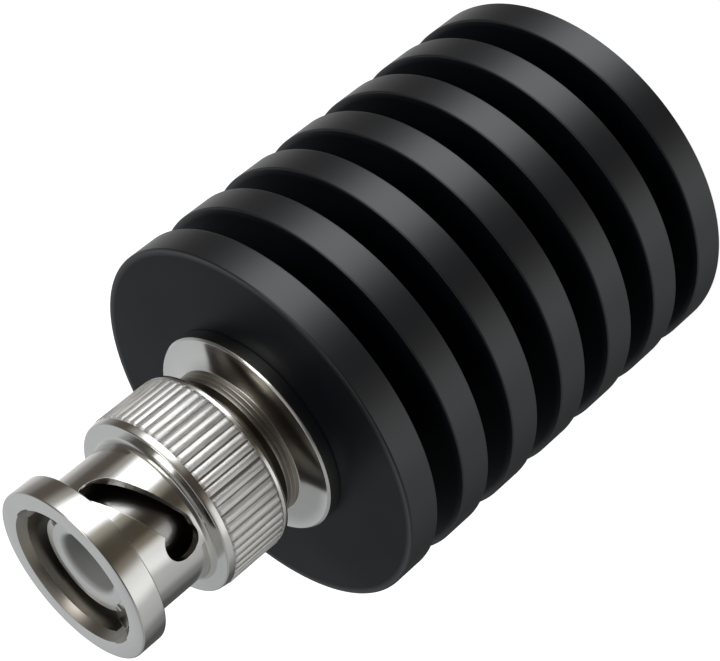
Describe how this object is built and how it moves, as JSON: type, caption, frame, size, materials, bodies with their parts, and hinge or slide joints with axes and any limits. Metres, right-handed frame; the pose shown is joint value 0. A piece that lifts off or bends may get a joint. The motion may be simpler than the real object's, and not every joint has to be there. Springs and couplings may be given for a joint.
{
  "type": "rf dummy load",
  "caption": "Finned cylindrical heat sink around a coaxial load resistor, with a bayonet plug on one end that turns and slides to lock on a socket.",
  "frame": {"origin": "centre of the flat rear face of the last fin, which the part stands on", "axes": "+Z along the axis towards the plug's mouth, +X and +Y across the fins"},
  "size_m": [0.03, 0.03, 0.0529],
  "materials": {
    "black_anodised": "satin black anodised",
    "bright_nickel": "bright nickel plated",
    "contact_nickel": "matt nickel plated",
    "washer_steel": "plain",
    "gasket_rubber": "soft",
    "insulator_plastic": "waxy",
    "gold_plate": "gold plated",
    "silver_plate": "silver plated",
    "film_rod": "matt film on ceramic",
    "ceramic": "matt ceramic",
    "plain_brass": "turned"
  },
  "bodies": {
    "load": {"heat_sink": "black_anodised", "flared_flange": "bright_nickel", "plug_body": "bright_nickel", "outer_contact": "contact_nickel", "wave_washer": "washer_steel", "mating_gasket": "gasket_rubber", "front_insulator": "insulator_plastic", "rear_insulator": "insulator_plastic", "centre_pin": "gold_plate", "resistor_front_cap": "silver_plate", "resistor_rod": "film_rod", "resistor_rear_cap": "silver_plate", "load_sleeve": "ceramic", "ground_plug": "plain_brass", "ground_spring": "washer_steel"},
    "thrust_washer": {"thrust_washer": "washer_steel"},
    "coupling_nut": {"coupling_nut": "bright_nickel"}
  },
  "joints": [
    {"name": "nut_slide", "type": "slide", "parent": "load", "child": "thrust_washer", "axis": [0, 0, 1], "range_m": [0, 0.001], "stiffness_N_per_m": 1500, "springref_m": -0.004, "deforming": ["wave_washer"]},
    {"name": "nut_turn", "type": "hinge", "parent": "thrust_washer", "child": "coupling_nut", "pos_m": [0, 0, 0.0389], "axis": [0, 0, 1], "continuous": true}
  ]
}
